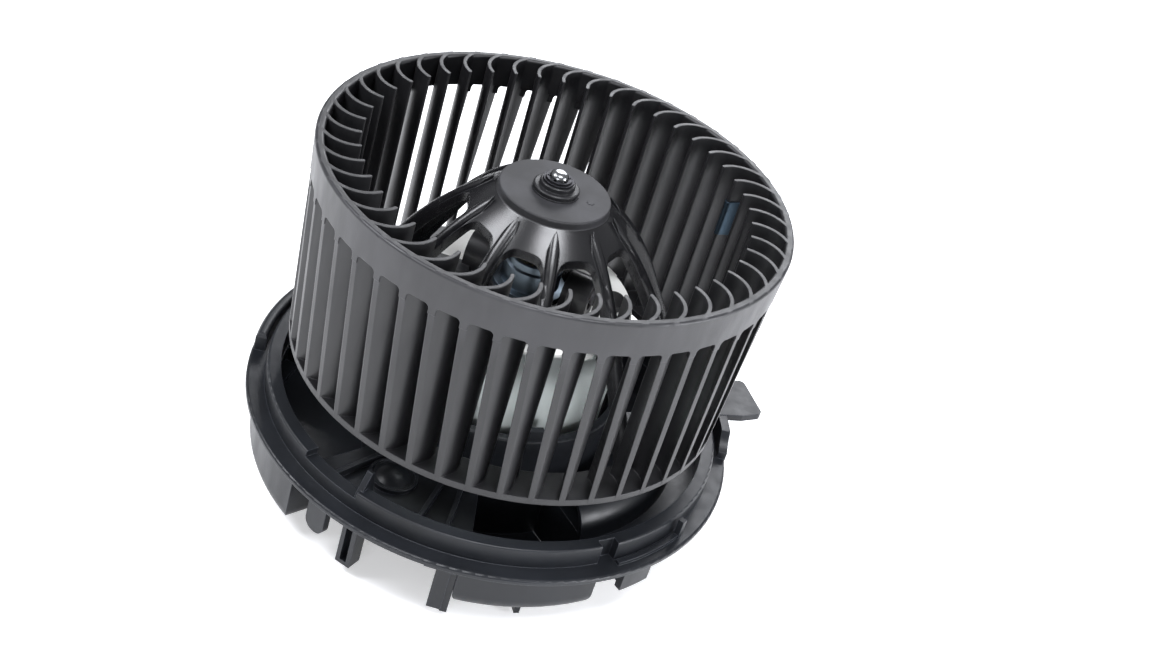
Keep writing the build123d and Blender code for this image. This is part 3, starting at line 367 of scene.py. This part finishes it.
def make_materials():
    """One material for each material slot in the record, and one for each look in OWN_LOOKS."""
    return {
        "wheel_plastic": moulded("wheel_plastic", (0.0130, 0.0130, 0.0148), zones=wheel_zones),
        # base_plastic's strong edge factor paints thin light highlights along its edges, on top of their wear
        "base_plastic": moulded("base_plastic", (0.0078, 0.0087, 0.0106), roughness=0.36, specular=0.30,
                                edge=6.0, edge_radius=0.35 * MM),
        "card_plastic": moulded("card_plastic", (0.012, 0.012, 0.013), roughness=0.34),
        "cover_plastic": moulded("cover_plastic", (0.015, 0.015, 0.016), roughness=0.46),
        "connector_plastic": moulded("connector_plastic", (0.028, 0.028, 0.030), roughness=0.45),
        "washer_plastic": moulded("washer_plastic", (0.55, 0.50, 0.38), roughness=0.4, edge=1.2, bloom=1.1),
        "collar_plastic": moulded("collar_plastic", (0.008, 0.008, 0.009), roughness=0.4, specular=0.35),
        "insulating_sleeve": moulded("insulating_sleeve", (0.12, 0.045, 0.02), roughness=0.35, edge=1.3),
        "zinc_plated_steel": metal("zinc_plated_steel", (0.80, 0.86, 0.83), 0.36, DRAWN_UP, 260, stain=0.9),
        # a lit copy of zinc_plated_steel: painted reflection, paler and less metallic, for the end plate only
        "zinc_with_painted_reflection": metal("zinc_with_painted_reflection", (0.90, 0.90, 0.86), 0.42, stain=0.95, metallic=0.25),
        "spring_steel": metal("spring_steel", (0.045, 0.045, 0.05), 0.42),
        "clip_steel": metal("clip_steel", (0.05, 0.075, 0.10), 0.38),
        "cup_steel": metal("cup_steel", (0.20, 0.245, 0.29), 0.34, TURNED_ROUND, 300, stain=0.9),
        "core_steel": laminated("core_steel", (0.36, 0.36, 0.37)),
        "screw_steel": metal("screw_steel", (0.58, 0.58, 0.60), 0.3),
        "shaft_steel": metal("shaft_steel", (0.24, 0.245, 0.25), 0.22, TURNED_ROUND, 500, stain=0.95),
        "bush_brass": metal("bush_brass", (0.62, 0.45, 0.18), 0.28, TURNED_ROUND),
        "tube_brass": metal("tube_brass", (0.65, 0.48, 0.20), 0.26),
        "sintered_bronze": sintered("sintered_bronze", (0.30, 0.19, 0.10), metallic=1.0),
        "copper": metal("copper", (0.70, 0.33, 0.19), 0.25, TURNED_ROUND),
        "enamelled_copper": enamelled_wire("enamelled_copper", (0.50, 0.17, 0.06)),
        "tinned_copper": metal("tinned_copper", (0.66, 0.66, 0.64), 0.28),
        "ferrite": sintered("ferrite", (0.045, 0.045, 0.05)),
        "brush_carbon": sintered("brush_carbon", (0.03, 0.03, 0.03)),
        "capacitor_coat": moulded("capacitor_coat", (0.45, 0.20, 0.03), roughness=0.2, edge=1.2, bloom=1.2),
        "fuse_case": metal("fuse_case", (0.60, 0.60, 0.60), 0.25),
        "red_insulation": moulded("red_insulation", (0.34, 0.015, 0.01), roughness=0.35, edge=1.2, bloom=1.2),
        "black_insulation": moulded("black_insulation", (0.016, 0.016, 0.016), roughness=0.35),
        "isolator_rubber": rubber("isolator_rubber", (0.014, 0.014, 0.014)),
    }


def paint(materials):
    """Give every CAD node the material of its slot, or its own look where it has one."""
    for entry in frame["record"]["subparts"]:
        node = NODES[entry["node"]]
        look = OWN_LOOKS.get(entry["node"], entry["material_slot"])
        node.data.materials.clear()
        node.data.materials.append(materials[look])
        for face in node.data.polygons:
            face.material_index = 0


# ---- brush springs ----

def add_coil_springs():
    """Copies of the brush springs, riding on the stator, in place of the rigid ones."""
    for joint in frame["record"]["behaviour"]["joints"]:
        for deforming in joint.get("deforming_nodes", []):
            rigid = NODES[deforming["node"]]
            spring = bpy.data.objects.new(rigid.name.replace("brush", "coil"), rigid.data.copy())
            spring.matrix_world = rigid.matrix_world
            bpy.context.scene.collection.objects.link(spring)
            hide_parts(rigid.name)
            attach(spring, "stator")
            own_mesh(spring)


# ---- studio ----

def add_floor():
    """Plain pale floor just under the lowest point."""
    size = FLOOR_SIZE / 2
    corners = [(-size, -size, 0), (size, -size, 0), (size, size, 0), (-size, size, 0)]
    mesh = bpy.data.meshes.new("floor")
    mesh.from_pydata(corners, [], [(0, 1, 2, 3)])
    floor = bpy.data.objects.new("floor", mesh)
    floor.location.z = cad_box[0][2] - FLOOR_GAP
    mesh.materials.append(floor_material())
    bpy.context.scene.collection.objects.link(floor)


def add_sky():
    """Even white surroundings."""
    world = bpy.data.worlds.new("studio")
    world.use_nodes = True
    background = world.node_tree.nodes["Background"]
    background.inputs["Color"].default_value = (*COOL_WHITE, 1.0)
    background.inputs["Strength"].default_value = SKY_STRENGTH
    bpy.context.scene.world = world


def add_softboxes():
    """Large soft area lights around the object."""
    for name, (place, aim, width, height, watts) in SOFTBOXES.items():
        lamp = bpy.data.lights.new(name, "AREA")
        lamp.shape = "RECTANGLE"
        lamp.size = width
        lamp.size_y = height
        lamp.energy = watts
        lamp.color = COOL_WHITE
        light = bpy.data.objects.new(name, lamp)
        light.location = place
        direction = Vector(aim) - Vector(place)
        light.rotation_euler = direction.to_track_quat("-Z", "Y").to_euler()
        bpy.context.scene.collection.objects.link(light)


def add_camera():
    """Camera in front of the object, looking down at it and rolled to its right."""
    elevation = radians(CAMERA_ELEVATION_DEG)
    roll = radians(CAMERA_ROLL_DEG)
    right = Vector((1, 0, 0))
    up = Vector((0, sin(elevation), cos(elevation)))
    back = Vector((0, -cos(elevation), sin(elevation)))
    rolled_right = cos(roll) * right + sin(roll) * up
    rolled_up = -sin(roll) * right + cos(roll) * up
    wheel_top = Vector((0, 0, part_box("fan_wheel")[1].z))
    camera_data = bpy.data.cameras.new("camera")
    camera_data.sensor_width = SENSOR_WIDTH_MM
    camera_data.lens = FOCAL_LENGTH_MM
    camera_data.clip_start = CAMERA_NEAR
    camera = bpy.data.objects.new("camera", camera_data)
    turn = Matrix((rolled_right, rolled_up, back)).transposed()
    place = wheel_top + CAMERA_DISTANCE * back - CAMERA_AIM_LEFT * rolled_right - CAMERA_AIM_UP * rolled_up
    camera.matrix_world = Matrix.Translation(place) @ turn.to_4x4()
    bpy.context.scene.collection.objects.link(camera)
    bpy.context.scene.camera = camera


def set_exposure():
    """Plain colour response, so whites stay white and blacks stay black."""
    view = bpy.context.scene.view_settings
    view.view_transform = "Standard"
    view.look = "None"
    view.exposure = 0.0


paint(make_materials())
add_coil_springs()
add_floor()
add_sky()
add_softboxes()
add_camera()
set_exposure()
